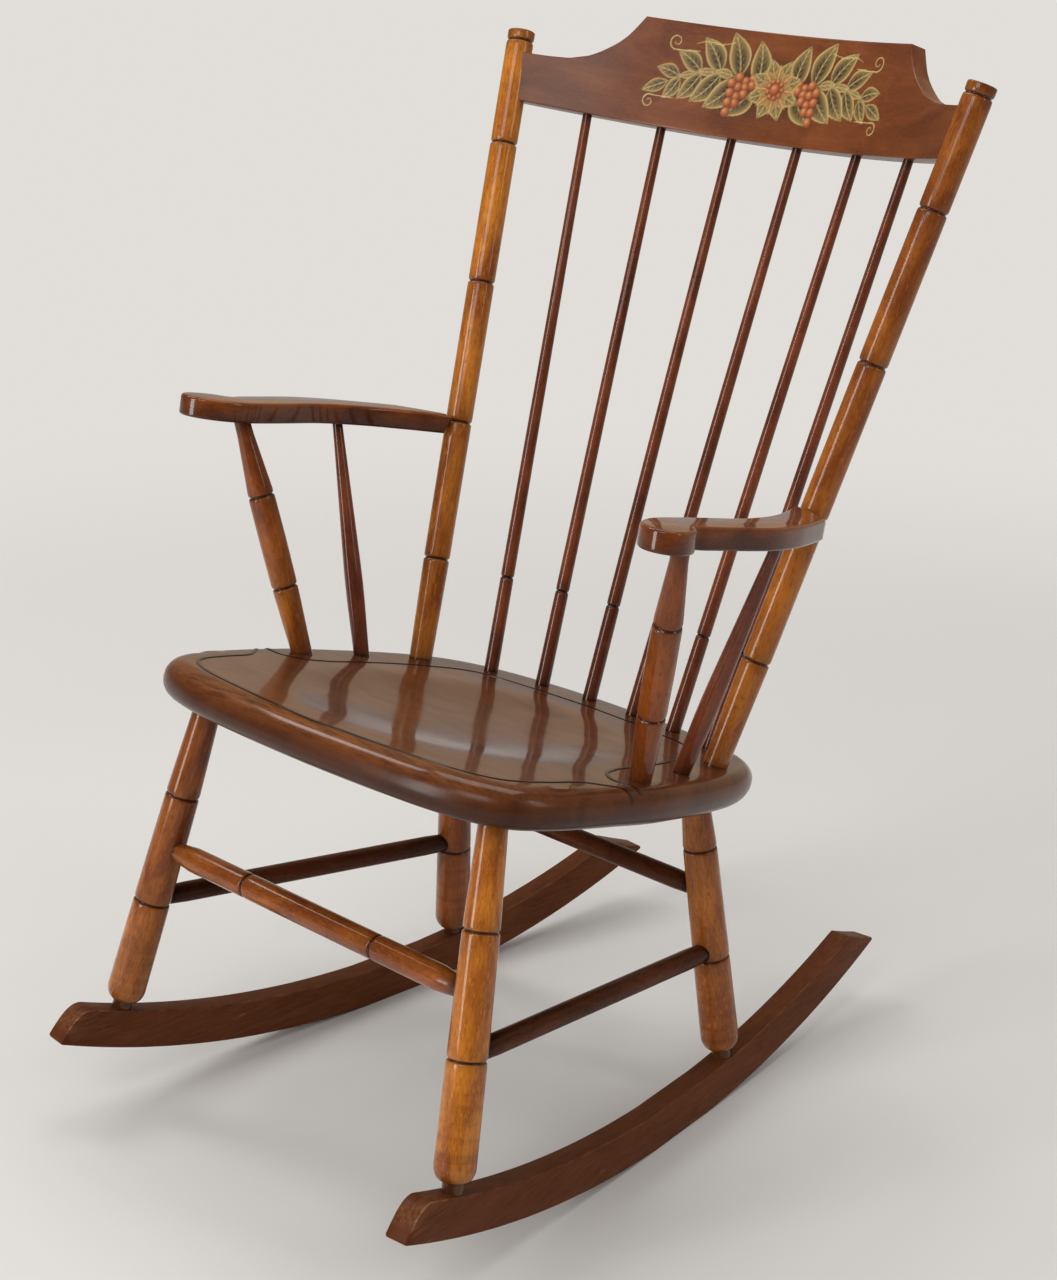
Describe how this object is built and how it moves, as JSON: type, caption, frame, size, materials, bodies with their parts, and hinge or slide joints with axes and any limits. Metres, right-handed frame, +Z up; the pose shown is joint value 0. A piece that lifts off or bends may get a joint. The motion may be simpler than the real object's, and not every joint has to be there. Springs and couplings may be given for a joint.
{
  "type": "boston rocking chair",
  "caption": "Wooden rocking chair with a saddled plank seat, bamboo-style turned legs and posts, slender back spindles, flat curved arms, a bent crest rail and curved rockers.",
  "frame": {"origin": "on the floor, under the middle of the chair's box", "axes": "+Z up, -Y the way the sitter faces, +X the sitter's left"},
  "size_m": [0.631, 0.79, 0.9953],
  "materials": {
    "seat_wood": "clear gloss lacquer over red-brown stain, worn amber at the front edge",
    "amber_wood": "clear gloss lacquer over amber and brown stain, darker at the grooves",
    "red_wood": "clear gloss lacquer over reddish-brown stain",
    "dark_wood": "satin lacquer over near-black brown stain",
    "rocker_wood": "dull worn lacquer over dark brown stain, with pale scratches and rubbed edges",
    "steel": "plain dull steel"
  },
  "bodies": {
    "root": {"arm_dowel_left": "amber_wood", "arm_dowel_right": "amber_wood", "arm_left": "red_wood", "arm_post_left": "amber_wood", "arm_post_right": "amber_wood", "arm_right": "red_wood", "arm_spindle_left": "red_wood", "arm_spindle_right": "red_wood", "back_leg_left": "amber_wood", "back_leg_right": "amber_wood", "back_post_left": "amber_wood", "back_post_right": "amber_wood", "back_spindle_1": "red_wood", "back_spindle_2": "red_wood", "back_spindle_3": "red_wood", "back_spindle_4": "red_wood", "back_spindle_5": "red_wood", "back_spindle_6": "red_wood", "back_stretcher": "dark_wood", "crest_pin_left": "dark_wood", "crest_pin_right": "dark_wood", "crest_rail": "red_wood", "front_leg_left": "amber_wood", "front_leg_right": "amber_wood", "front_stretcher": "amber_wood", "rocker_left": "rocker_wood", "rocker_right": "rocker_wood", "rocker_screw_back_left": "steel", "rocker_screw_back_right": "steel", "rocker_screw_front_left": "steel", "rocker_screw_front_right": "steel", "seat": "seat_wood", "side_stretcher_left": "dark_wood", "side_stretcher_right": "dark_wood"}
  },
  "joints": []
}
